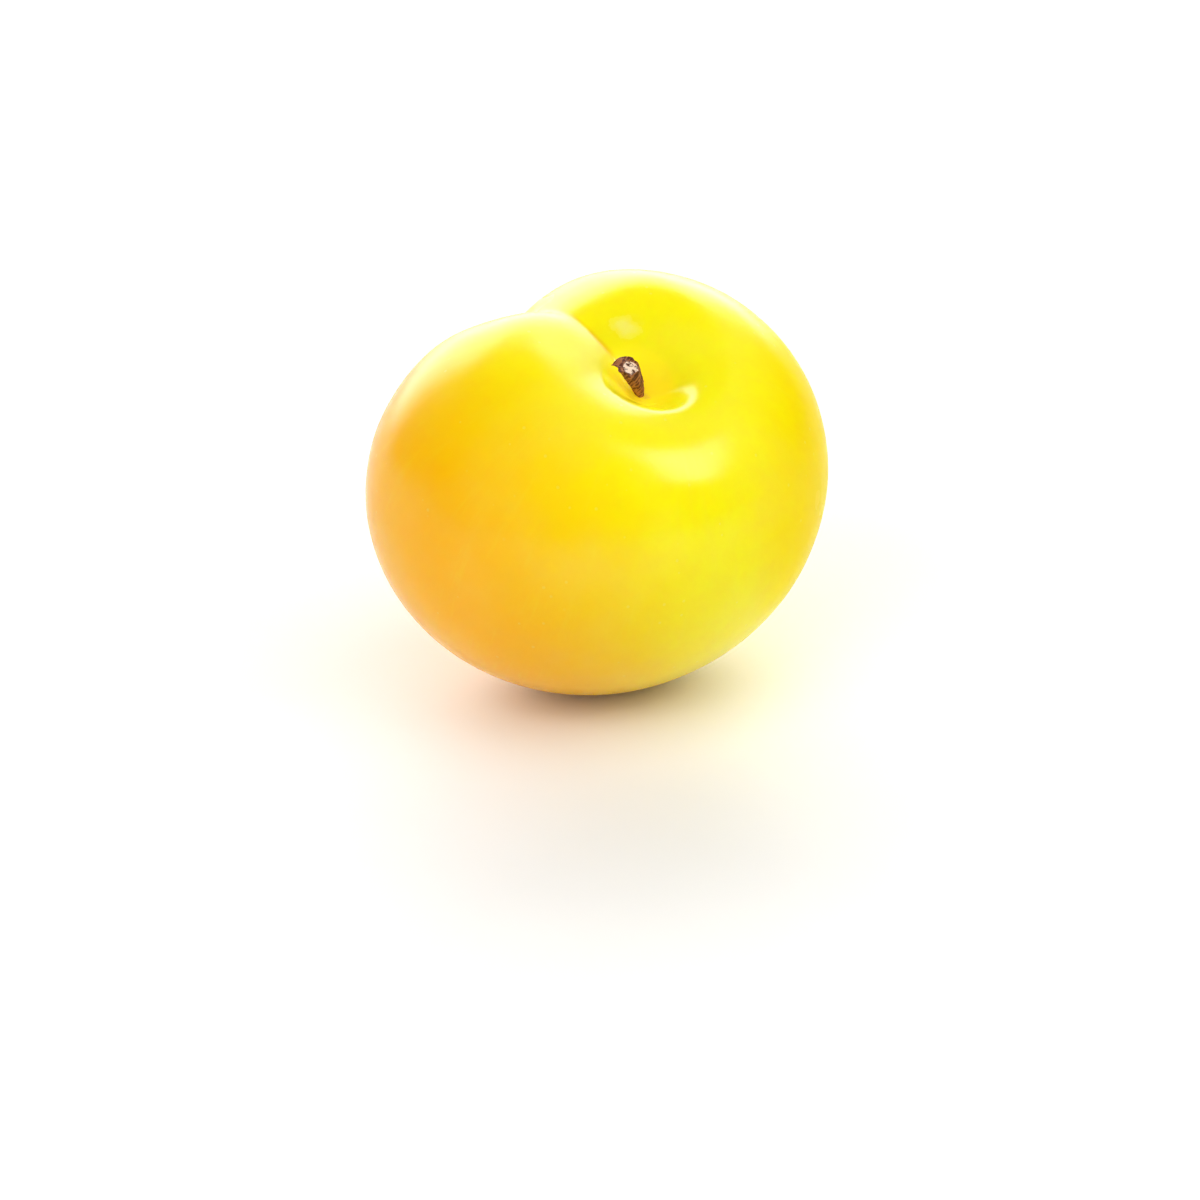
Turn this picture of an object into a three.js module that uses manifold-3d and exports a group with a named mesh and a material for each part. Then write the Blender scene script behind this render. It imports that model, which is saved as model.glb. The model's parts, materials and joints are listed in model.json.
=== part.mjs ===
// A whole yellow plum with the dry stub of its stalk, resting on a small flat spot.
// Millimetres. The part stands with +Z up and its origin on the flat spot, under its centre of mass.
// The fruit is shaped in a frame of its own: +X across the two cheeks, +Y toward the suture,
// +Z along the stalk. A place on it is given by two angles in degrees: polar, from the stalk end,
// and turn, from the suture toward +X.

import * as THREE from "three";
import { mergeVertices } from "three/addons/utils/BufferGeometryUtils.js";
import Module from "manifold-3d";

// Driving dimensions of the fruit
const CHEEK_WIDTH = 57.4;
const SUTURE_TO_BACK = 52;
const STALK_TO_BLOSSOM = 50.1;

// Pose at rest: the fruit turns on its stalk, leans over, and settles onto a flat spot
const TURN = 9.9;
const LEAN = 28.8;
const LIFT = 24.85;
const UNDER_WEIGHT = new THREE.Vector3(0.24, -0.76, 0);

// Suture: a wide valley down the face, a deeper one across the shoulder, and a fine crease in it
const VALLEY = { from: 8, to: 160, share: 0.1, reach: 32.7 };
const SHOULDER_VALLEY = { from: 6, to: 80, share: 0.088, reach: 13.2 };
const CREASE = { from: 6, to: 150, share: 0.028, reach: 3.8 };

// Swellings: the two cheeks, the crest beside the suture, the foot under the weight,
// and the brow and the shoulder of the far cheek
const SWELLINGS = [
  { polar: 60, turn: 300, height: 0.32, reach: 21 },
  { polar: 60, turn: 60, height: 0.5, reach: 21 },
  { polar: 38, turn: 340, height: 0.43, reach: 8 },
  { polar: 158, turn: 180, height: 0.8, reach: 14 },
  { polar: 65, turn: 16, height: 0.78, reach: 10 },
  { polar: 56, turn: 32, height: 0.45, reach: 15 },
];

// Stalk cavity: a wide dip with a funnel in it, a little behind the suture's end.
// Blossom end: a faint hollow
const HOLLOWS = [
  { polar: 3, turn: 145, depth: 3.1, reach: 18 },
  { polar: 5.6, turn: 145, depth: 3.2, reach: 6.6 },
  { polar: 180, turn: 0, depth: -0.5, reach: 6 },
];

// Stalk stub: a curved stem, thin at its root and flared where it broke off at a slant
const STUB_ROOT = new THREE.Vector3(1.76, -1.39, 12.6);
const STUB_BEND = new THREE.Vector3(1.33, -0.99, 15.95);
const STUB_TIP = new THREE.Vector3(-0.8, 1.06, 19.3);
const STUB_RADII = [0.72, 0.56, 0.46, 0.5, 0.64, 0.82, 1, 1.16, 1.28, 1.38];
const STUB_RIBS = { count: 5, height: 0.1, twist: 2.2 };
const BROKEN_END = { hollow: 0.35, jag: 0.3, slant: 0.35, toward: -150 };
const SOCKET_GAP = 0.3;

// Fineness of the meshes
const FRUIT_MERIDIANS = 72;
const FRUIT_RINGS = 54;
const STUB_SIDES = 15;

const MATERIALS = {
  skin: new THREE.MeshStandardMaterial({ color: 0xf7c413, roughness: 0.32, metalness: 0 }),
  bark: new THREE.MeshStandardMaterial({ color: 0x5a3620, roughness: 0.85, metalness: 0 }),
};

const { clamp, degToRad: radians, radToDeg: degrees } = THREE.MathUtils;
const smooth = (t) => t * t * (3 - 2 * t);
const sharp = (t) => t * t;

// A closed mesh whose vertices are shared, with nothing on them but their position
function welded(geometry) {
  geometry.deleteAttribute("normal");
  geometry.deleteAttribute("uv");
  return mergeVertices(geometry, 1e-5);
}

function points(geometry) {
  const position = geometry.getAttribute("position");
  const list = [];
  for (let i = 0; i < position.count; i += 1) {
    list.push(new THREE.Vector3().fromBufferAttribute(position, i));
  }
  return list;
}

function setPoints(geometry, list) {
  const position = geometry.getAttribute("position");
  list.forEach((point, i) => position.setXYZ(i, point.x, point.y, point.z));
}

// Direction of the place at two angles on the fruit
function place(polar, turn) {
  const side = Math.sin(radians(polar));
  return new THREE.Vector3(
    side * Math.sin(radians(turn)),
    side * Math.cos(radians(turn)),
    Math.cos(radians(polar)),
  );
}

const polarAngle = (direction) => degrees(Math.acos(clamp(direction.z, -1, 1)));
const isOnSuture = (direction) => direction.y > 0 && Math.abs(direction.x) < 1e-4;

// A ball of radius 1 whose rings gather at the stalk end and whose meridians gather at the suture
function gatheredBall() {
  const ball = welded(new THREE.SphereGeometry(1, FRUIT_MERIDIANS, FRUIT_RINGS).rotateX(Math.PI / 2));
  const gatherRings = 1.25;
  const gatherMeridians = 0.3;
  const list = points(ball).map((point) => {
    const polar = 180 * Math.pow(polarAngle(point) / 180, gatherRings);
    const turn = Math.atan2(point.x, point.y);
    return place(polar, degrees(turn - gatherMeridians * Math.sin(turn)));
  });
  setPoints(ball, list);
  return ball;
}

// How strongly each point feels a stroke: 1 on the points it grips, fading to 0 at its reach
function pull(list, grips, reach, fade) {
  const held = grips.map((i) => list[i].clone());
  return list.map((point) => {
    const distance = Math.min(...held.map((grip) => grip.distanceTo(point)));
    return distance < reach ? fade(1 - distance / reach) : 0;
  });
}

// Draws the points toward the fruit's middle, as a string round it would
function pinch(list, grips, { share, reach }, fade) {
  const weights = pull(list, grips, reach, fade);
  list.forEach((point, i) => point.multiplyScalar(1 - share * weights[i]));
}

// Moves the points along a vector
function push(list, grip, vector, reach) {
  const weights = pull(list, [grip], reach, smooth);
  list.forEach((point, i) => point.addScaledVector(vector, weights[i]));
}

function plumShape() {
  const ball = gatheredBall();
  const directions = points(ball);
  const halfSizes = new THREE.Vector3(CHEEK_WIDTH, SUTURE_TO_BACK, STALK_TO_BLOSSOM).divideScalar(2);
  const list = directions.map((direction) => direction.clone().multiply(halfSizes));

  const nearest = (polar, turn) => {
    const aim = place(polar, turn);
    const distances = directions.map((direction) => direction.distanceTo(aim));
    return distances.indexOf(Math.min(...distances));
  };
  const suture = ({ from, to }) =>
    directions
      .map((direction, i) => ({ i, polar: polarAngle(direction), inLine: isOnSuture(direction) }))
      .filter(({ polar, inLine }) => inLine && polar > from && polar < to)
      .map(({ i }) => i);

  pinch(list, suture(VALLEY), VALLEY, smooth);
  pinch(list, suture(SHOULDER_VALLEY), SHOULDER_VALLEY, smooth);
  pinch(list, suture(CREASE), CREASE, sharp);
  for (const { polar, turn, height, reach } of SWELLINGS) {
    const grip = nearest(polar, turn);
    push(list, grip, list[grip].clone().setLength(height), reach);
  }
  for (const { polar, turn, depth, reach } of HOLLOWS) {
    push(list, nearest(polar, turn), new THREE.Vector3(0, 0, -depth), reach);
  }
  setPoints(ball, list);
  return ball;
}

// The stub's outline on one side, from its root to the bottom of the hollow in its broken end.
// x is the radius and y the share of the stub's length
function stubProfile(extra) {
  const side = STUB_RADII.map((radius, i) => new THREE.Vector2(radius + extra, i / (STUB_RADII.length - 1)));
  const endRadius = STUB_RADII[STUB_RADII.length - 1] + extra;
  const length = STUB_ROOT.distanceTo(STUB_TIP);
  return [
    new THREE.Vector2(0, 0),
    ...side,
    new THREE.Vector2(endRadius * 0.6, 1 - (0.6 * BROKEN_END.hollow) / length),
    new THREE.Vector2(0, 1 - BROKEN_END.hollow / length),
  ];
}

// A stub swollen by some extra radius: turned straight, then ribbed, torn at its end and bent to its curve
function stubShape(extra) {
  const lathe = welded(new THREE.LatheGeometry(stubProfile(extra), STUB_SIDES).rotateX(Math.PI / 2));
  const curve = new THREE.QuadraticBezierCurve3(STUB_ROOT, STUB_BEND, STUB_TIP);
  const up = new THREE.Vector3(0, 0, 1);
  const list = points(lathe).map((point) => {
    const along = point.z;
    const angle = Math.atan2(point.y, point.x);
    const rib = 1 + STUB_RIBS.height * Math.cos(STUB_RIBS.count * angle + STUB_RIBS.twist * along);
    const radius = Math.hypot(point.x, point.y);
    const slant = -BROKEN_END.slant * radius * Math.cos(angle - radians(BROKEN_END.toward));
    const jag = BROKEN_END.jag * Math.sin(3 * angle + 1) * Math.cos(2 * angle);
    const torn = (slant + jag) * Math.pow(along, 4);
    return new THREE.Vector3(point.x * rib, point.y * rib, torn)
      .applyQuaternion(new THREE.Quaternion().setFromUnitVectors(up, curve.getTangent(along)))
      .add(curve.getPoint(along));
  });
  setPoints(lathe, list);
  return lathe;
}

const wasm = await Module();
wasm.setup();

function solid(geometry) {
  return new wasm.Manifold(
    new wasm.Mesh({
      numProp: 3,
      vertProperties: new Float32Array(geometry.getAttribute("position").array),
      triVerts: new Uint32Array(geometry.index.array),
    }),
  );
}

function surface(manifold) {
  const mesh = manifold.getMesh();
  const geometry = new THREE.BufferGeometry();
  geometry.setAttribute("position", new THREE.BufferAttribute(mesh.vertProperties, 3));
  geometry.setIndex(new THREE.BufferAttribute(mesh.triVerts, 1));
  return geometry;
}

// From the fruit's own frame to the part's
function restPose() {
  const turn = new THREE.Matrix4().makeRotationZ(radians(TURN));
  const lean = new THREE.Matrix4().makeRotationX(radians(LEAN));
  const settle = new THREE.Matrix4().makeTranslation(-UNDER_WEIGHT.x, -UNDER_WEIGHT.y, LIFT);
  return settle.multiply(lean).multiply(turn);
}

// Presses whatever would reach below the surface up to it, which makes the flat spot
function flattenBelow(geometry) {
  const list = points(geometry);
  list.forEach((point) => {
    point.z = Math.max(point.z, 0);
  });
  setPoints(geometry, list);
}

function plumFruit() {
  const socket = solid(stubShape(SOCKET_GAP));
  const geometry = surface(solid(plumShape()).subtract(socket)).applyMatrix4(restPose());
  flattenBelow(geometry);
  geometry.computeVertexNormals();
  const mesh = new THREE.Mesh(geometry, MATERIALS.skin);
  mesh.name = "plum_fruit";
  return mesh;
}

function stalkStub() {
  const geometry = stubShape(0).applyMatrix4(restPose());
  geometry.computeVertexNormals();
  const mesh = new THREE.Mesh(geometry, MATERIALS.bark);
  mesh.name = "stalk_stub";
  return mesh;
}

const plum = new THREE.Group();
plum.add(plumFruit(), stalkStub());

export default plum;
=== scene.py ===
"""A whole yellow plum with the dry stub of its stalk, and the white table and soft lights round it.

The fruit is shaped from a ball in a frame of its own, in metres: +X across the two cheeks, +Y toward
the suture, +Z along the stalk. A place on it is given by two angles in degrees: polar, from the stalk
end, and turn, from the suture toward +X. The finished fruit is then turned, leaned over and set down.
"""

import json
import math
from collections import namedtuple

import bpy
import numpy as np
from bpy.props import FloatProperty, FloatVectorProperty, IntProperty, PointerProperty
from mathutils import Euler, Matrix, Vector

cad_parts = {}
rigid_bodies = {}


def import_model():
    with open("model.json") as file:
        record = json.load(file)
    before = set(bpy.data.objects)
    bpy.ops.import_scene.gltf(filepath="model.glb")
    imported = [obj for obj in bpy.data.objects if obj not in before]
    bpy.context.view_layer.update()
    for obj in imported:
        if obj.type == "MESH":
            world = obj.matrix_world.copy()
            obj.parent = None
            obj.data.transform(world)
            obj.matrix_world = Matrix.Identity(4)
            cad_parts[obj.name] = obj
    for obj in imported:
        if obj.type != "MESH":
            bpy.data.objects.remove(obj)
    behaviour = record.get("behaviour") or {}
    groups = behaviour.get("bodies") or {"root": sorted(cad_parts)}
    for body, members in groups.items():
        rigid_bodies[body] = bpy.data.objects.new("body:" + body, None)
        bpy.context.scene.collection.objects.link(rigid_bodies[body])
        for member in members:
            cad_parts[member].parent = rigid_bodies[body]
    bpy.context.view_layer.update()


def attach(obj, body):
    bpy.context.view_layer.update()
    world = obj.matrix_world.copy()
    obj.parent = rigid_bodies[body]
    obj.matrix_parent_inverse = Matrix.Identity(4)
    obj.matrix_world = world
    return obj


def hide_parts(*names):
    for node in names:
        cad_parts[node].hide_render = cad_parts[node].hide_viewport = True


bl_info = {
    "name": "Yellow Plum",
    "version": (1, 0, 0),
    "blender": (4, 5, 0),
    "location": "3D View > Sidebar > Plum",
    "description": "Models a whole yellow plum with its stalk stub, and lights it on a white table",
    "category": "Object",
}

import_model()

MM = 0.001

# Suture: each valley runs down the face between two polar angles and is drawn in by a share
Valley = namedtuple("Valley", "first last share reach fade")
VALLEYS = (
    Valley(8, 160, 0.100, 32.7 * MM, "SMOOTH"),
    Valley(6, 80, 0.088, 13.2 * MM, "SMOOTH"),
    Valley(6, 150, 0.028, 3.8 * MM, "SHARP"),
)

# Swellings: the cheeks, the crest beside the suture, the foot, and the far cheek's brow and shoulder
Swelling = namedtuple("Swelling", "polar turn height reach")
SWELLINGS = (
    Swelling(60, 300, 0.32 * MM, 21 * MM),
    Swelling(60, 60, 0.50 * MM, 21 * MM),
    Swelling(38, 340, 0.43 * MM, 8 * MM),
    Swelling(158, 180, 0.80 * MM, 14 * MM),
    Swelling(65, 16, 0.78 * MM, 10 * MM),
    Swelling(56, 32, 0.45 * MM, 15 * MM),
)

# Hollows, pressed in along the stalk: the wide dip, the cavity in it, and the blossom end's
Hollow = namedtuple("Hollow", "polar turn depth reach")
HOLLOWS = (
    Hollow(3, 145, 3.1 * MM, 18 * MM),
    Hollow(5.6, 145, 3.2 * MM, 6.6 * MM),
    Hollow(180, 0, -0.5 * MM, 6 * MM),
)

# How far apart the slow waves in the skin lie
SKIN_WAVES_APART = 16 * MM

# On the ball of radius 1, how near a vertex lies to the suture's plane when it lies in it
IN_LINE = 1e-4

# The stalk stub's radius in millimetres, in even steps from its root to its broken end
STUB_RADII = (0.72, 0.56, 0.46, 0.50, 0.64, 0.82, 1.00, 1.16, 1.28, 1.38)

# How the stub bends from upright: in line with its height, and with the square of it
STUB_SLOPE = (-0.86 * MM, 0.80 * MM, 0)
STUB_CURL = (-1.70 * MM, 1.65 * MM, 0)

# Ribs on the stub: places round its root, in degrees from +X, and how far they stand out in millimetres
Rib = namedtuple("Rib", "angle height")
RIBS = (Rib(20, 0.09), Rib(85, 0.06), Rib(150, 0.10), Rib(205, 0.05), Rib(262, 0.09), Rib(320, 0.06))
RIB_REACH = 0.45 * MM
TWIST_PER_RING = math.radians(2)

# Torn end: places round the rim, in degrees from +X. Each is moved out and up, with the bark in its
# reach, all in millimetres
Tear = namedtuple("Tear", "angle out up reach")
TEARS = (
    Tear(141, 0.50, -0.45, 0.8),
    Tear(75, 0.00, -0.35, 0.9),
    Tear(5, -0.15, -0.10, 0.6),
    Tear(-35, 0.05, -0.50, 0.8),
    Tear(-100, -0.10, -0.75, 1.0),
    Tear(-160, 0.05, -0.25, 0.5),
    Tear(110, -0.10, -0.50, 0.5),
)

# Broken wood: rings inside the rim, as shares of its size, and how far each sinks in millimetres. From
# the last ring, the wood's colour spreads outward over so many faces
WoodRing = namedtuple("WoodRing", "size sink")
WOOD_RINGS = (
    WoodRing(0.84, 0.05),
    WoodRing(0.66, 0.45),
    WoodRing(0.50, 0.00),
    WoodRing(0.26, -0.10),
    WoodRing(0.10, 0.00),
)
WOOD_SPREADS = 3

# Fine furrows in the finished stub, and how far below its top the topmost ring is looked for
FURROWS_APART = 0.5 * MM
FURROW_HEIGHT = 0.16 * MM
RING_SLACK = 0.01 * MM

# Directions in the fruit's frame: its lower cheek, golden partly of its own and partly as painted shade,
# and the edge of its far cheek, with painted shade
RIPE_AND_SHADED_SIDE = (-0.84, 0.15, -0.52)
FAR_SIDE = (0.767, -0.592, 0.248)

# Places in the fruit's frame: the middle of the painted glow in the open cavity, the painted highlight
# patch on its wall, the blossom end, and the height of the cavity's floor
CAVITY_MIDDLE = (0.2 * MM, 0.2 * MM, 15 * MM)
HIGHLIGHT_PATCH_PLACE = (3.6 * MM, 6.7 * MM, 18.2 * MM)
BLOSSOM_END = (0, 0, -24.5 * MM)
CAVITY_FLOOR = 13.7 * MM

# Colours laid over the skin's own, among them painted shade along the suture and in the cavity, and the
# tints of the cavity's painted glow and of the gloss
CLOUD = (0.93, 0.56, 0.02)
FIBRE = (0.97, 0.80, 0.03)
LENTICEL = (0.98, 0.90, 0.20)
# Painted shade in the suture's crease
SUTURE_PAINTED_SHADE = (0.86, 0.46, 0.01)
# Painted shade deep in the cavity
CAVITY_PAINTED_SHADE = (0.98, 0.62, 0.001)
# Painted light: the cavity's glow
CAVITY_PAINTED_GLOW = (1.0, 0.80, 0.03)
SHEEN_TINT = (1.0, 0.93, 0.75)

# Colours of the stub's dust, the dark strands of its wood, the table and the room
BARK_DUST = (0.58, 0.28, 0.17)
WOOD_STRAND = (0.10, 0.03, 0.012)
TABLE_SHADES = ((0.90, 0.90, 0.89), (0.93, 0.925, 0.915))
ROOM_WHITE = (1.0, 0.99, 0.97)

# Noise patterns: how fine, in repeats per metre, with how many layers, how rough and how warped
Pattern = namedtuple("Pattern", "scale detail roughness distortion", defaults=(3.0, 0.5, 0.0))
SLOW_CHANGES = Pattern(55)
FLESH_CLOUDS = Pattern(420, 4, 0.6)
THIN_WAX = Pattern(70)
# The torn edge of the painted highlight patch on the cavity's wall
TORN_HIGHLIGHT_EDGE = Pattern(420, 3, 0.6)
SUTURE_BREAKS = Pattern(260, 2)
CORK_EDGE = Pattern(900, 4, 0.6)
PORES = Pattern(1500, 3, 0.55)
BARK_FURROWS = Pattern(3000, 3, 0.55, 0.4)
DUST_SPECKS = Pattern(3600, 3, 0.6)
WOOD_STRANDS = Pattern(1700, 4, 0.6)
TABLE_GRAIN = Pattern(60)
LENTICELS_PER_METRE = 520

# Flesh fibres: a pattern that changes fast round the stalk and slowly along it
FLESH_FIBRES = Pattern(2.2, 4, 0.6)
FIBRES_ROUND = 9
FIBRES_ALONG = 45

# Grain: turned aslant of the stub in bark and wood, and in the bark drawn out along its own Z
GRAIN_SLANT = (0.13, -0.75, 0)
GRAIN_STRETCH = (1, 1, 0.14)

# Soft lights: azimuth, elevation and slope in degrees, distance and size in metres, power in watts
Softbox = namedtuple("Softbox", "name azimuth elevation distance size power slope glossy diffuse")
SOFTBOXES = (
    Softbox("side_light", 42, 45, 0.55, (0.30, 0.17), 1.4, slope=60, glossy=True, diffuse=False),
    Softbox("front_fill", -70, 35, 1.5, (1.2, 1.2), 12, slope=0, glossy=False, diffuse=True),
    Softbox("right_fill", 45, 25, 1.5, (1.2, 1.2), 7, slope=0, glossy=False, diffuse=True),
    Softbox("top_light", 0, 68, 2.0, (2.0, 2.0), 18, slope=0, glossy=False, diffuse=True),
)
LIT_PLACE = Vector((0, 0, 25 * MM))
TABLE_SIZE = 4

# Room, by directions of length 1: how the bright wall fades in from its sides and out at its top,
# and how the glow high at its right fades in
WALL_SIDES = (0.68, 0.90)
WALL_TOP = (0.60, 0.74)
GLOW_SIDE = (0.78, 0.02, 0.63)
GLOW_EDGE = (0.88, 0.98)

# Picture: its width, and the place of the fruit's middle on it, in pixels, and the sensor in millimetres
PICTURE_WIDTH = 1200
MIDDLE_ACROSS, MIDDLE_DOWN = 596.9, 476.7
SENSOR_WIDTH = 36.0

# Sockets of the Mix node for colours
MIX_FACTOR, MIX_A, MIX_B, MIX_RESULT = 0, 6, 7, 2


class PlumFruitSettings(bpy.types.PropertyGroup):
    """Size, pose and fineness of the fruit"""

    cheek_width: FloatProperty(
        name="Cheek width", description="Across the two cheeks", default=0.0574, unit="LENGTH"
    )
    suture_to_back: FloatProperty(
        name="Suture to back", description="From the suture to the back", default=0.052, unit="LENGTH"
    )
    stalk_to_blossom: FloatProperty(
        name="Stalk to blossom end",
        description="Height before the hollows are pressed in",
        default=0.0501,
        unit="LENGTH",
    )
    turn: FloatProperty(
        name="Turn",
        description="Turn of the fruit on its stalk",
        default=math.radians(9.9),
        subtype="ANGLE",
    )
    lean: FloatProperty(
        name="Lean",
        description="Lean of the stalk from upright",
        default=math.radians(28.8),
        subtype="ANGLE",
    )
    centre: FloatVectorProperty(
        name="Centre",
        description="Place of the fruit's middle over the flat spot",
        default=(-0.24 * MM, 0.76 * MM, 24.85 * MM),
        subtype="TRANSLATION",
    )
    unevenness: FloatProperty(
        name="Unevenness",
        description="Height of the slow waves in the skin",
        default=0.22 * MM,
        unit="LENGTH",
    )
    meridians: IntProperty(name="Meridians", description="Faces round the stalk", default=144)
    rings: IntProperty(name="Rings", description="Faces from the stalk to the blossom end", default=132)


class PlumSkinSettings(bpy.types.PropertyGroup):
    """Colours and gloss of the skin"""

    # Golden also stands as painted shade on the lower cheek and at the far cheek's edge
    golden: FloatVectorProperty(
        name="Golden",
        description="Skin on the sunny cheek and at the blossom end",
        default=(0.98, 0.46, 0.001),
        subtype="COLOR",
        size=3,
    )
    lemon: FloatVectorProperty(
        name="Lemon",
        description="Skin at the stalk end",
        default=(0.97, 0.84, 0.001),
        subtype="COLOR",
        size=3,
    )
    bloom: FloatVectorProperty(
        name="Bloom", description="Waxy bloom", default=(0.96, 0.86, 0.30), subtype="COLOR", size=3
    )
    russet: FloatVectorProperty(
        name="Russet",
        description="Corky skin at the scars",
        default=(0.36, 0.17, 0.035),
        subtype="COLOR",
        size=3,
    )
    roughness: FloatProperty(
        name="Roughness", description="Roughness of the wax", default=0.22, subtype="FACTOR"
    )


class StalkStubSettings(bpy.types.PropertyGroup):
    """Size, place and colours of the stalk stub"""

    root: FloatVectorProperty(
        name="Root",
        description="Foot of the stub in the fruit's own frame",
        default=(1.76 * MM, -1.39 * MM, 12.6 * MM),
        subtype="TRANSLATION",
    )
    length: FloatProperty(name="Length", description="Height of the stub", default=6.7 * MM, unit="LENGTH")
    sides: IntProperty(name="Sides", description="Vertices round the stub", default=48)
    steps: IntProperty(name="Steps", description="Rings along the stub", default=36)
    bark: FloatVectorProperty(
        name="Bark",
        description="Dry bark in the furrows",
        default=(0.085, 0.018, 0.004),
        subtype="COLOR",
        size=3,
    )
    ridge: FloatVectorProperty(
        name="Ridge",
        description="Worn bark on the ridges",
        default=(0.40, 0.15, 0.05),
        subtype="COLOR",
        size=3,
    )
    pith: FloatVectorProperty(
        name="Pith", description="Broken wood", default=(0.95, 0.72, 0.52), subtype="COLOR", size=3
    )


class PlumStageSettings(bpy.types.PropertyGroup):
    """Camera and room light"""

    azimuth: FloatProperty(
        name="Azimuth",
        description="Side that the camera stands on",
        default=math.radians(-31),
        subtype="ANGLE",
    )
    elevation: FloatProperty(
        name="Elevation",
        description="Height of the camera's view",
        default=math.radians(24),
        subtype="ANGLE",
    )
    distance: FloatProperty(
        name="Distance", description="Camera to the fruit's middle", default=0.6, unit="LENGTH"
    )
    lens: FloatProperty(name="Lens", description="Focal length in millimetres", default=151.8)
    wall_azimuth: FloatProperty(
        name="Wall azimuth",
        description="Side that the bright wall is on",
        default=math.radians(158),
        subtype="ANGLE",
    )
    wall: FloatProperty(name="Wall", description="Brightness of the wall behind the fruit", default=3.6)
    glow: FloatProperty(name="Glow", description="Brightness high at the right", default=0.6)
    room: FloatProperty(name="Room", description="Brightness all round", default=0.12)


SETTINGS = (
    ("plum_fruit", PlumFruitSettings),
    ("plum_skin", PlumSkinSettings),
    ("stalk_stub", StalkStubSettings),
    ("plum_stage", PlumStageSettings),
)


# Shaping by hand


def deselect_all():
    if bpy.context.object and bpy.context.object.mode != "OBJECT":
        bpy.ops.object.mode_set(mode="OBJECT")
    bpy.ops.object.select_all(action="DESELECT")


def places(piece):
    """The piece's vertices as an array"""
    spots = np.zeros(len(piece.data.vertices) * 3)
    piece.data.vertices.foreach_get("co", spots)
    return spots.reshape(-1, 3)


def grip(piece, chosen):
    """Selects only the chosen vertices, given as an array of booleans, and enters edit mode"""
    bpy.ops.object.mode_set(mode="OBJECT")
    mesh = piece.data
    mesh.polygons.foreach_set("select", np.zeros(len(mesh.polygons), dtype=bool))
    mesh.edges.foreach_set("select", np.zeros(len(mesh.edges), dtype=bool))
    mesh.vertices.foreach_set("select", chosen)
    bpy.ops.object.mode_set(mode="EDIT")
    bpy.ops.mesh.select_mode(type="VERT")


def draw_in(piece, chosen, share, reach, fade):
    """Draws the skin toward the fruit's middle, as a string round it would"""
    grip(piece, chosen)
    bpy.ops.transform.resize(
        value=(1 - share,) * 3,
        center_override=(0, 0, 0),
        use_proportional_edit=True,
        proportional_edit_falloff=fade,
        proportional_size=reach,
    )


def push(piece, chosen, move, reach, fade="SMOOTH"):
    """Moves the chosen vertices, and those in reach with them"""
    grip(piece, chosen)
    bpy.ops.transform.translate(
        value=move,
        use_proportional_edit=True,
        proportional_edit_falloff=fade,
        proportional_size=reach,
    )


def around(angle):
    """Level direction at an angle in degrees from +X"""
    return Vector((math.cos(math.radians(angle)), math.sin(math.radians(angle)), 0))


def apply_modifier(piece, kind, name, **values):
    """Adds a modifier, sets it up and applies it"""
    bpy.ops.object.mode_set(mode="OBJECT")
    modifier = piece.modifiers.new(name, kind)
    for key, value in values.items():
        setattr(modifier, key, value)
    bpy.ops.object.modifier_apply(modifier=modifier.name)


def set_down(piece):
    """Takes a piece from the fruit's own frame to its place at rest"""
    fruit = bpy.context.scene.plum_fruit
    bpy.ops.object.mode_set(mode="OBJECT")
    piece.rotation_mode = "ZYX"
    piece.rotation_euler = (fruit.lean, 0, fruit.turn)
    piece.location = fruit.centre
    bpy.ops.object.transform_apply(location=True, rotation=True, scale=True)
    piece.rotation_mode = "XYZ"


# Materials


def new_material(name):
    material = bpy.data.materials.new(name)
    material.use_nodes = True
    return material, material.node_tree, material.node_tree.nodes["Principled BSDF"]


def feed(tree, made, inputs):
    """Gives a node's inputs values, or links them to other nodes' outputs"""
    for socket, value in inputs.items():
        if isinstance(value, bpy.types.NodeSocket):
            tree.links.new(value, made.inputs[socket])
        else:
            made.inputs[socket].default_value = value


def node(tree, kind, inputs=None, **settings):
    """Adds a shader node with its settings and inputs"""
    made = tree.nodes.new("ShaderNode" + kind)
    for key, value in settings.items():
        setattr(made, key, value)
    feed(tree, made, inputs or {})
    return made


def noise(tree, where, pattern):
    inputs = {
        "Vector": where,
        "Scale": pattern.scale,
        "Detail": pattern.detail,
        "Roughness": pattern.roughness,
        "Distortion": pattern.distortion,
    }
    return node(tree, "TexNoise", inputs).outputs["Fac"]


def spread(tree, value, low, high, to_low=0.0, to_high=1.0):
    """Maps a value smoothly from one range to another and keeps it there"""
    inputs = {"Value": value, 1: low, 2: high, 3: to_low, 4: to_high}
    return node(tree, "MapRange", inputs, interpolation_type="SMOOTHSTEP").outputs[0]


def calc(tree, operation, first, second=0.0):
    return node(tree, "Math", {0: first, 1: second}, operation=operation).outputs[0]


def add(tree, first, second):
    return calc(tree, "ADD", first, second)


def times(tree, first, second):
    return calc(tree, "MULTIPLY", first, second)


def vector_calc(tree, operation, first, second=(0, 0, 0)):
    made = node(tree, "VectorMath", {0: first, 1: second}, operation=operation)
    return made.outputs["Value" if operation in ("DOT_PRODUCT", "DISTANCE") else "Vector"]


def toward(tree, where, direction):
    """How far a place lies in a direction"""
    return vector_calc(tree, "DOT_PRODUCT", where, direction)


def distance(tree, where, place):
    return vector_calc(tree, "DISTANCE", where, place)


def mix(tree, factor, first, second):
    inputs = {MIX_FACTOR: factor, MIX_A: first, MIX_B: second}
    return node(tree, "Mix", inputs, data_type="RGBA").outputs[MIX_RESULT]


def bump(tree, height, strength, depth):
    made = node(tree, "Bump", {"Strength": strength, "Distance": depth, "Height": height})
    return made.outputs["Normal"]


def colour(value):
    return (*value, 1.0)


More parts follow.
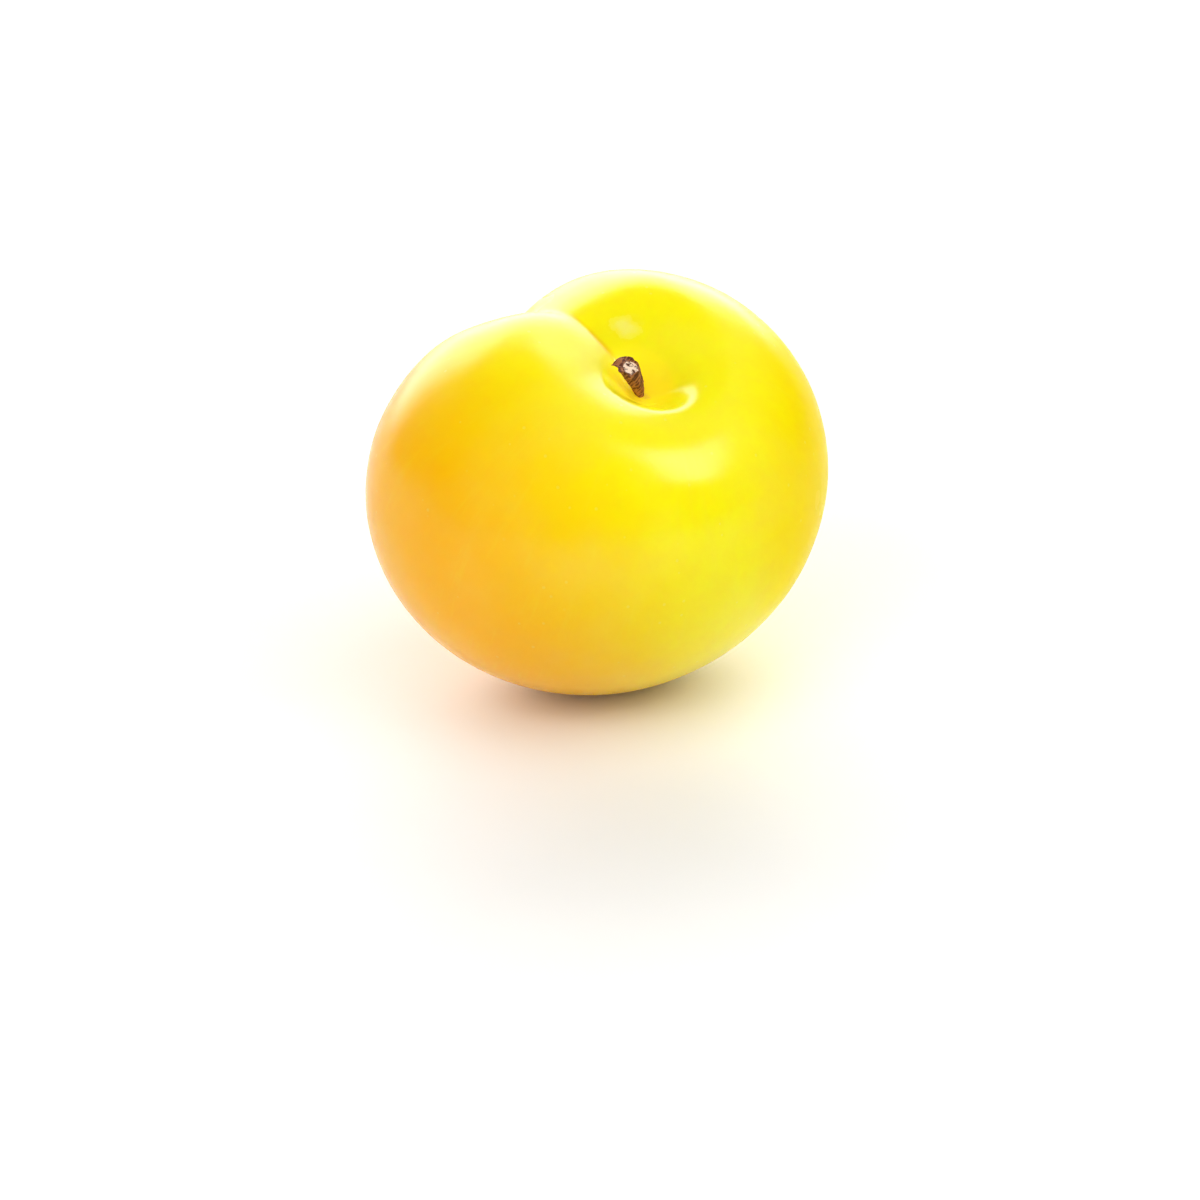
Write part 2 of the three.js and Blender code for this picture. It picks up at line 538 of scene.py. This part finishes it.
def fruit_frame(tree):
    """Object coordinates taken back to the fruit's own frame"""
    fruit = bpy.context.scene.plum_fruit
    back = Euler((-fruit.lean, 0, -fruit.turn), "XYZ")
    shift = -(back.to_matrix() @ Vector(fruit.centre))
    where = node(tree, "TexCoord").outputs["Object"]
    mapping = node(tree, "Mapping", {"Vector": where, "Rotation": back, "Location": shift})
    return mapping.outputs["Vector"]


def ripe_and_shaded_colour(tree, where):
    """Lemon skin, golden toward the lower cheek and the blossom end, partly its own colour and partly
    painted shade, and golden at the far cheek's edge as painted shade
    """
    skin = bpy.context.scene.plum_skin
    slow = times(tree, calc(tree, "SUBTRACT", noise(tree, where, SLOW_CHANGES), 0.5), 10 * MM)
    # Golden toward the lower cheek: partly the skin's own colour, partly painted shade
    ripeness_and_shade = spread(tree, add(tree, toward(tree, where, RIPE_AND_SHADED_SIDE), slow), -8 * MM, 22 * MM)
    # Painted shade: golden at the far cheek's edge
    far_edge_shade = spread(tree, add(tree, toward(tree, where, FAR_SIDE), slow), 16 * MM, 27 * MM, 0.0, 0.45)
    base = mix(tree, ripeness_and_shade, colour(skin.lemon), colour(skin.golden))
    return mix(tree, far_edge_shade, base, colour(skin.golden))


def flesh_fibres(tree, where):
    """Fibres under the skin, which run from the stalk to the blossom end"""
    side = vector_calc(tree, "NORMALIZE", vector_calc(tree, "MULTIPLY", where, (1, 1, 0)))
    side = vector_calc(tree, "MULTIPLY", side, (FIBRES_ROUND, FIBRES_ROUND, 0))
    height = vector_calc(tree, "MULTIPLY", where, (0, 0, FIBRES_ALONG))
    fibres = noise(tree, vector_calc(tree, "ADD", side, height), FLESH_FIBRES)
    return spread(tree, fibres, 0.52, 0.72, 0.0, 0.12)


def lenticels(tree, where):
    """Small dots in the skin, not in every cell"""
    cells = node(tree, "TexVoronoi", {"Vector": where, "Scale": LENTICELS_PER_METRE})
    dots = spread(tree, cells.outputs["Distance"], 0.07, 0.13, 1.0, 0.0)
    chance = node(tree, "SeparateColor", {0: cells.outputs["Color"]}).outputs[0]
    return times(tree, dots, spread(tree, chance, 0.45, 0.6))


def wax_and_highlight_patch(tree, where):
    """Thin wax here and there, and a painted highlight: one pale patch with a torn edge on the wall over
    the cavity
    """
    thin = spread(tree, noise(tree, where, THIN_WAX), 0.40, 0.80, 0.0, 0.08)
    torn = times(tree, noise(tree, where, TORN_HIGHLIGHT_EDGE), 3 * MM)
    from_patch = add(tree, distance(tree, where, HIGHLIGHT_PATCH_PLACE), torn)
    return add(tree, thin, spread(tree, from_patch, 1.5 * MM, 3.8 * MM, 0.45, 0.0))


def suture_shade_line(tree, where):
    """Painted shade: a thin darker gold line in the suture's crease, broken here and there, from a little
    way out of the cavity
    """
    axes = node(tree, "SeparateXYZ", {0: where}).outputs
    line = spread(tree, calc(tree, "ABSOLUTE", axes["X"]), 0.12 * MM, 0.55 * MM, 1.0, 0.0)
    line = times(tree, line, spread(tree, axes["Y"], 1.5 * MM, 5 * MM))
    return times(tree, line, spread(tree, noise(tree, where, SUTURE_BREAKS), 0.3, 0.6, 0.12, 0.4))


def skin_material():
    """Translucent yellow skin: golden below, partly as painted shade, lemon above, under a thin uneven
    bloom, with painted shade in the suture and the cavity, a painted highlight patch and a painted glow
    """
    skin = bpy.context.scene.plum_skin
    root = bpy.context.scene.stalk_stub.root
    material, tree, shader = new_material("plum_skin")
    where = fruit_frame(tree)
    clouds = noise(tree, where, FLESH_CLOUDS)
    dots = lenticels(tree, where)
    # Thin wax, and a painted highlight patch
    wax_and_highlight = wax_and_highlight_patch(tree, where)

    # Cork: a ragged ring where the stub grows out, and a dot at the blossom end
    ragged = times(tree, noise(tree, where, CORK_EDGE), 1.1 * MM)
    from_stub = distance(tree, where, (root[0], root[1], CAVITY_FLOOR))
    from_tip = distance(tree, where, BLOSSOM_END)
    ring = spread(tree, add(tree, from_stub, ragged), 1.5 * MM, 2.1 * MM, 0.85, 0.0)
    scar = spread(tree, add(tree, from_tip, ragged), 0.7 * MM, 1.5 * MM, 0.9, 0.0)

    base = ripe_and_shaded_colour(tree, where)
    layers = (
        (spread(tree, clouds, 0.35, 0.7, 0.0, 0.10), CLOUD),
        (flesh_fibres(tree, where), FIBRE),
        (times(tree, dots, 0.22), LENTICEL),
        # Bloom, with a painted highlight in its pale patch on the cavity's wall
        (wax_and_highlight, skin.bloom),
        # Painted shade along the suture's crease
        (suture_shade_line(tree, where), SUTURE_PAINTED_SHADE),
        # Painted shade in the cavity round the stub
        (spread(tree, from_stub, 1.5 * MM, 6.0 * MM, 0.5, 0.0), CAVITY_PAINTED_SHADE),
        (ring, skin.russet),
        (scar, skin.russet),
    )
    for strength, over in layers:
        base = mix(tree, strength, base, colour(over))

    # Painted light: the skin in and round the cavity glows, lifting its shade
    glow = spread(tree, distance(tree, where, CAVITY_MIDDLE), 2 * MM, 6.5 * MM, 0.32, 0.0)

    # Gloss: duller on the wax and on the painted highlight patch, on cork and on the far cheek, and
    # polished round the cavity
    polish = spread(tree, from_stub, 9 * MM, 13 * MM, 0.45, 0.0)
    sheen = spread(tree, toward(tree, where, FAR_SIDE), 13 * MM, 22 * MM, 0.5, 0.02)
    dull = add(tree, times(tree, wax_and_highlight, 0.9), times(tree, ring, 0.35))

    relief = add(tree, times(tree, noise(tree, where, PORES), 0.5), times(tree, dots, 0.35))
    relief = add(tree, relief, times(tree, clouds, 0.8))
    inputs = {
        "Base Color": base,
        "Roughness": add(tree, dull, skin.roughness),
        "IOR": 1.38,
        "Normal": bump(tree, relief, 0.35, 0.05 * MM),
        "Subsurface Weight": 0.8,
        "Subsurface Radius": (1.0, 0.75, 0.10),
        "Subsurface Scale": 8 * MM,
        "Specular IOR Level": sheen,
        "Specular Tint": colour(SHEEN_TINT),
        "Coat Weight": polish,
        "Coat Roughness": 0.12,
        # Painted light: the cavity's glow
        "Emission Color": colour(CAVITY_PAINTED_GLOW),
        "Emission Strength": glow,
    }
    feed(tree, shader, inputs)
    return material


def grain_frame(tree):
    """The fruit's frame moved to the stub's root and turned to the slant of its grain"""
    stub = bpy.context.scene.stalk_stub
    where = vector_calc(tree, "SUBTRACT", fruit_frame(tree), tuple(stub.root))
    return node(tree, "Mapping", {"Vector": where, "Rotation": GRAIN_SLANT}).outputs["Vector"]


def bark_material():
    """Dry bark: dark furrows, reddish worn ridges and pale dust"""
    stub = bpy.context.scene.stalk_stub
    material, tree, shader = new_material("stalk_bark")
    grain = vector_calc(tree, "MULTIPLY", grain_frame(tree), GRAIN_STRETCH)
    furrows = noise(tree, grain, BARK_FURROWS)
    dust = noise(tree, grain, DUST_SPECKS)
    base = mix(tree, spread(tree, furrows, 0.45, 0.58), colour(stub.bark), colour(stub.ridge))
    base = mix(tree, spread(tree, dust, 0.56, 0.72, 0.0, 0.4), base, colour(BARK_DUST))
    relief = bump(tree, furrows, 0.8, 0.12 * MM)
    feed(tree, shader, {"Base Color": base, "Roughness": 0.72, "Normal": relief})
    return material


def pith_material():
    """Broken wood of the stub: pale, with darker strands"""
    stub = bpy.context.scene.stalk_stub
    material, tree, shader = new_material("stalk_pith")
    strands = noise(tree, grain_frame(tree), WOOD_STRANDS)
    base = mix(tree, spread(tree, strands, 0.40, 0.50), colour(WOOD_STRAND), colour(stub.pith))
    relief = bump(tree, strands, 0.7, 0.10 * MM)
    feed(tree, shader, {"Base Color": base, "Roughness": 0.8, "Normal": relief})
    return material


def table_material():
    """Matt white tabletop"""
    material, tree, shader = new_material("white_table")
    grain = noise(tree, node(tree, "TexCoord").outputs["Object"], TABLE_GRAIN)
    base = mix(tree, grain, *(colour(shade) for shade in TABLE_SHADES))
    feed(tree, shader, {"Base Color": base, "Roughness": 0.6})
    return material


# Pieces


class PlumFruitAdd(bpy.types.Operator):
    """Shapes the fruit from a ball, sets it down and gives it its skin"""

    bl_idname = "plum.add_fruit"
    bl_label = "Plum Fruit"

    def execute(self, context):
        fruit = context.scene.plum_fruit
        deselect_all()
        bpy.ops.mesh.primitive_uv_sphere_add(
            segments=fruit.meridians, ring_count=fruit.rings, radius=1, location=(0, 0, 0)
        )
        piece = context.object
        piece.name = piece.data.name = "yellow_plum"
        sphere = places(piece)
        self.directions = sphere
        self.polar = np.degrees(np.arccos(np.clip(sphere[:, 2], -1, 1)))
        self.on_suture = (sphere[:, 1] > 0) & (np.abs(sphere[:, 0]) < IN_LINE)

        bpy.ops.object.mode_set(mode="EDIT")
        bpy.ops.mesh.select_all(action="SELECT")
        bpy.ops.transform.resize(
            value=(fruit.cheek_width / 2, fruit.suture_to_back / 2, fruit.stalk_to_blossom / 2),
            center_override=(0, 0, 0),
        )
        self.shape(piece)
        waves = bpy.data.textures.new("skin_waves", "CLOUDS")
        waves.noise_scale = SKIN_WAVES_APART
        apply_modifier(piece, "DISPLACE", "Waves", texture=waves, strength=fruit.unevenness)
        apply_modifier(piece, "SUBSURF", "Smoothing", levels=1, render_levels=1)
        set_down(piece)
        grip(piece, places(piece)[:, 2] < 0)
        bpy.ops.transform.resize(value=(1, 1, 0), center_override=(0, 0, 0))
        bpy.ops.object.mode_set(mode="OBJECT")
        bpy.ops.object.shade_smooth()

        piece.data.materials.append(skin_material())
        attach(piece, "root")
        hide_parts("plum_fruit")
        return {"FINISHED"}

    def shape(self, piece):
        """Draws in the suture, swells the cheeks and presses in the hollows"""
        for valley in VALLEYS:
            chain = self.on_suture & (self.polar > valley.first) & (self.polar < valley.last)
            draw_in(piece, chain, valley.share, valley.reach, valley.fade)
        for swelling in SWELLINGS:
            held = self.nearest(swelling.polar, swelling.turn)
            bpy.ops.object.mode_set(mode="OBJECT")
            outward = Vector(places(piece)[held][0]).normalized()
            push(piece, held, outward * swelling.height, swelling.reach)
        for hollow in HOLLOWS:
            held = self.nearest(hollow.polar, hollow.turn)
            push(piece, held, (0, 0, -hollow.depth), hollow.reach)

    def nearest(self, polar, turn):
        """The one vertex nearest to a place on the fruit"""
        polar, turn = math.radians(polar), math.radians(turn)
        aim = (math.sin(polar) * math.sin(turn), math.sin(polar) * math.cos(turn), math.cos(polar))
        chosen = np.zeros(len(self.directions), dtype=bool)
        chosen[np.argmax(self.directions @ np.array(aim))] = True
        return chosen


class StalkStubAdd(bpy.types.Operator):
    """Draws the stub up ring by ring, tears its end and bends it to its curve"""

    bl_idname = "plum.add_stub"
    bl_label = "Stalk Stub"

    def execute(self, context):
        stub = context.scene.stalk_stub
        deselect_all()
        bpy.ops.mesh.primitive_circle_add(
            vertices=stub.sides, radius=self.radius(0), fill_type="NGON", location=(0, 0, 0)
        )
        piece = context.object
        piece.name = piece.data.name = "dry_stub"
        piece.data.materials.append(bark_material())
        piece.data.materials.append(pith_material())
        bpy.ops.object.mode_set(mode="EDIT")
        bpy.ops.mesh.select_all(action="SELECT")
        self.rib_root(piece)
        self.draw_up(stub)
        rim = self.top_ring(piece, stub.length)
        self.break_end(stub)
        rim = np.pad(rim, (0, len(piece.data.vertices) - len(rim)))
        for tear in TEARS:
            self.tear_rim(piece, rim, tear)
        for bend, fade in ((STUB_SLOPE, "LINEAR"), (STUB_CURL, "SHARP")):
            push(piece, rim, bend, stub.length, fade)
        bpy.ops.mesh.select_all(action="SELECT")
        bpy.ops.transform.translate(value=stub.root)

        furrows = bpy.data.textures.new("stub_furrows", "CLOUDS")
        furrows.noise_scale = FURROWS_APART
        apply_modifier(piece, "SUBSURF", "Smoothing", levels=2, render_levels=2)
        apply_modifier(piece, "DISPLACE", "Furrows", texture=furrows, strength=FURROW_HEIGHT)
        set_down(piece)
        bpy.ops.object.shade_smooth()
        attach(piece, "root")
        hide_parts("stalk_stub")
        return {"FINISHED"}

    def radius(self, share):
        """Radius of the stub at a share of its length"""
        return float(np.interp(share, np.linspace(0, 1, len(STUB_RADII)), STUB_RADII)) * MM

    def rib_root(self, piece):
        """Swells the root's outline into uneven ribs, which run on up the stub"""
        spots = places(piece)
        for rib in RIBS:
            aim = around(rib.angle)
            held = np.arange(len(spots)) == np.argmax(spots @ np.array(aim))
            push(piece, held, aim * rib.height * MM, RIB_REACH)
        bpy.ops.mesh.select_all(action="SELECT")

    def draw_up(self, stub):
        """Draws the selected outline up into the stub, ring by ring, with a slow twist"""
        rise = stub.length / stub.steps
        last = self.radius(0)
        for step in range(1, stub.steps + 1):
            radius = self.radius(step / stub.steps)
            middle = (0, 0, rise * step)
            bpy.ops.mesh.extrude_region_move(TRANSFORM_OT_translate={"value": (0, 0, rise)})
            bpy.ops.transform.resize(value=(radius / last, radius / last, 1), center_override=middle)
            bpy.ops.transform.rotate(value=TWIST_PER_RING, orient_axis="Z", center_override=middle)
            last = radius

    def top_ring(self, piece, height):
        """The vertices of the topmost ring, as an array of booleans"""
        bpy.ops.object.mode_set(mode="OBJECT")
        ring = places(piece)[:, 2] > height - RING_SLACK
        bpy.ops.object.mode_set(mode="EDIT")
        return ring

    def break_end(self, stub):
        """Sinks the broken wood inside its rim of bark, and gives it its own material"""
        last = 1.0
        for ring in WOOD_RINGS:
            share = ring.size / last
            bpy.ops.mesh.extrude_region_move(TRANSFORM_OT_translate={"value": (0, 0, -ring.sink * MM)})
            bpy.ops.transform.resize(value=(share, share, 1), center_override=(0, 0, stub.length))
            last = ring.size
        for _ in range(WOOD_SPREADS):
            bpy.ops.mesh.select_more()
        bpy.context.object.active_material_index = 1
        bpy.ops.object.material_slot_assign()
        bpy.ops.object.mode_set(mode="OBJECT")

    def tear_rim(self, piece, rim, tear):
        """Moves one place of the rim out and up, and the bark near it"""
        bpy.ops.object.mode_set(mode="OBJECT")
        aim = around(tear.angle)
        reached = np.where(rim, places(piece) @ np.array(aim), -1)
        held = np.arange(len(rim)) == np.argmax(reached)
        move = (aim * tear.out + Vector((0, 0, tear.up))) * MM
        push(piece, held, move, tear.reach * MM)


class PlumStageAdd(bpy.types.Operator):
    """Lays the white table, hangs the soft lights and aims the camera"""

    bl_idname = "plum.add_stage"
    bl_label = "White Table and Lights"

    def execute(self, context):
        stage = context.scene.plum_stage
        deselect_all()
        bpy.ops.mesh.primitive_plane_add(size=TABLE_SIZE, location=(0, 0, 0))
        table = context.object
        table.name = "white_table"
        table.data.materials.append(table_material())
        self.light_room(context, stage)
        for softbox in SOFTBOXES:
            self.hang(context, softbox)
        self.aim_camera(context, stage)
        context.scene.view_settings.view_transform = "Standard"
        return {"FINISHED"}

    def light_room(self, context, stage):
        """A bright wall behind the fruit and a fainter glow high at its right, in a dim room"""
        world = bpy.data.worlds.new("studio_room")
        world.use_nodes = True
        tree = world.node_tree
        where = node(tree, "TexCoord").outputs["Generated"]
        to_wall = (math.sin(stage.wall_azimuth), -math.cos(stage.wall_azimuth), 0)
        level = vector_calc(tree, "NORMALIZE", vector_calc(tree, "MULTIPLY", where, (1, 1, 0)))
        behind = spread(tree, toward(tree, level, to_wall), *WALL_SIDES)
        below_top = spread(tree, toward(tree, where, (0, 0, 1)), *WALL_TOP, 1.0, 0.0)
        wall = times(tree, times(tree, behind, below_top), stage.wall)
        glow = spread(tree, toward(tree, where, GLOW_SIDE), *GLOW_EDGE, 0.0, stage.glow)
        brightness = add(tree, add(tree, wall, glow), stage.room)
        feed(tree, tree.nodes["Background"], {"Color": colour(ROOM_WHITE), "Strength": brightness})
        context.scene.world = world

    def hang(self, context, softbox):
        """Hangs a soft light that faces the fruit"""
        side, up = math.radians(softbox.azimuth), math.radians(softbox.elevation)
        away = Vector((math.sin(side) * math.cos(up), -math.cos(side) * math.cos(up), math.sin(up)))
        slope = Matrix.Rotation(math.radians(softbox.slope), 3, "Z")
        facing = (away.to_track_quat("Z", "Y").to_matrix() @ slope).to_euler()
        bpy.ops.object.light_add(
            type="AREA", location=LIT_PLACE + away * softbox.distance, rotation=facing
        )
        light = context.object
        light.name = softbox.name
        light.data.shape = "RECTANGLE"
        light.data.size, light.data.size_y = softbox.size
        light.data.energy = softbox.power
        light.visible_glossy = softbox.glossy
        light.visible_diffuse = softbox.diffuse

    def aim_camera(self, context, stage):
        """Stands the camera where the fruit's middle falls on its place in the picture"""
        pixels_per_metre = PICTURE_WIDTH * stage.lens / SENSOR_WIDTH / stage.distance
        view = Euler((math.pi / 2 - stage.elevation, 0, stage.azimuth), "XYZ")
        right = (PICTURE_WIDTH / 2 - MIDDLE_ACROSS) / pixels_per_metre
        up = (MIDDLE_DOWN - PICTURE_WIDTH / 2) / pixels_per_metre
        aside = view.to_matrix() @ Vector((right, up, stage.distance))
        place = Vector(context.scene.plum_fruit.centre) + aside
        bpy.ops.object.camera_add(location=place, rotation=view)
        camera = context.object
        camera.name = "studio_camera"
        camera.data.lens = stage.lens
        camera.data.sensor_width = SENSOR_WIDTH
        camera.data.clip_start = 0.05
        context.scene.camera = camera


class PlumPanel(bpy.types.Panel):
    """Sidebar with the plum's pieces and their sizes and colours"""

    bl_idname = "VIEW3D_PT_plum"
    bl_label = "Plum"
    bl_space_type = "VIEW_3D"
    bl_region_type = "UI"
    bl_category = "Plum"

    def draw(self, context):
        for operator in OPERATORS:
            self.layout.operator(operator.bl_idname)
        for name, group in SETTINGS:
            box = self.layout.box()
            box.label(text=group.__doc__)
            for key in group.__annotations__:
                box.prop(getattr(context.scene, name), key)


OPERATORS = (PlumFruitAdd, StalkStubAdd, PlumStageAdd)
CLASSES = (*(group for _, group in SETTINGS), *OPERATORS, PlumPanel)


def register():
    for item in CLASSES:
        bpy.utils.register_class(item)
    for name, group in SETTINGS:
        setattr(bpy.types.Scene, name, PointerProperty(type=group))


def unregister():
    for name, _ in SETTINGS:
        delattr(bpy.types.Scene, name)
    for item in reversed(CLASSES):
        bpy.utils.unregister_class(item)


def main():
    register()
    bpy.ops.plum.add_fruit()
    bpy.ops.plum.add_stub()
    bpy.ops.plum.add_stage()


if __name__ == "__main__":
    main()
